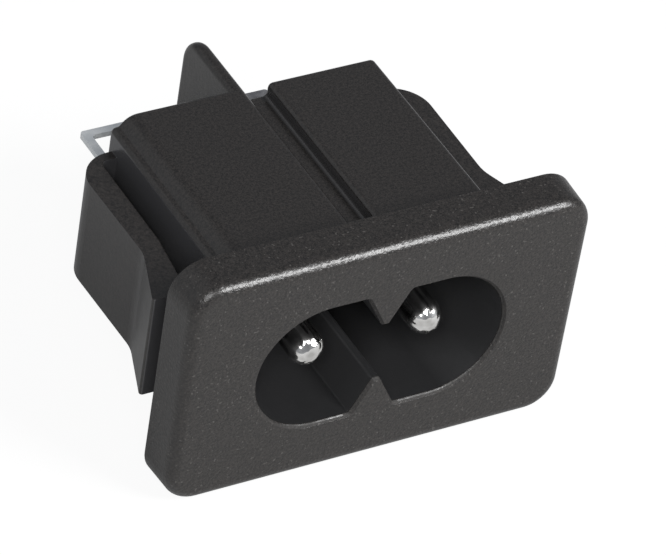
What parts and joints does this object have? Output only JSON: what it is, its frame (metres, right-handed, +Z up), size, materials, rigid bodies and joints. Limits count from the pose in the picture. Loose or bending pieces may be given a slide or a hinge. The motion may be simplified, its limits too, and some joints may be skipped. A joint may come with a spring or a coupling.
{
  "type": "figure-eight panel socket",
  "caption": "Snap-in panel inlet for a figure-eight mains plug: flanged black moulding with a notched recess, hairpin snap arms, round contact pins and rear solder tags.",
  "frame": {"origin": "middle of the flange's back face, where the part seats on the panel", "axes": "+X right as seen from the front, -Y out of the front of the panel, +Z up"},
  "size_m": [0.0288, 0.028, 0.0176],
  "materials": {
    "black_plastic": "black moulded plastic, fine spark-eroded grain on the flange, satin behind it",
    "nickel": "nickel plated, bright",
    "tinned_brass": "tin plated, dull bright"
  },
  "bodies": {
    "root": {"housing": "black_plastic", "left_pin": "nickel", "right_pin": "nickel", "left_solder_tag": "tinned_brass", "right_solder_tag": "tinned_brass"}
  },
  "joints": []
}
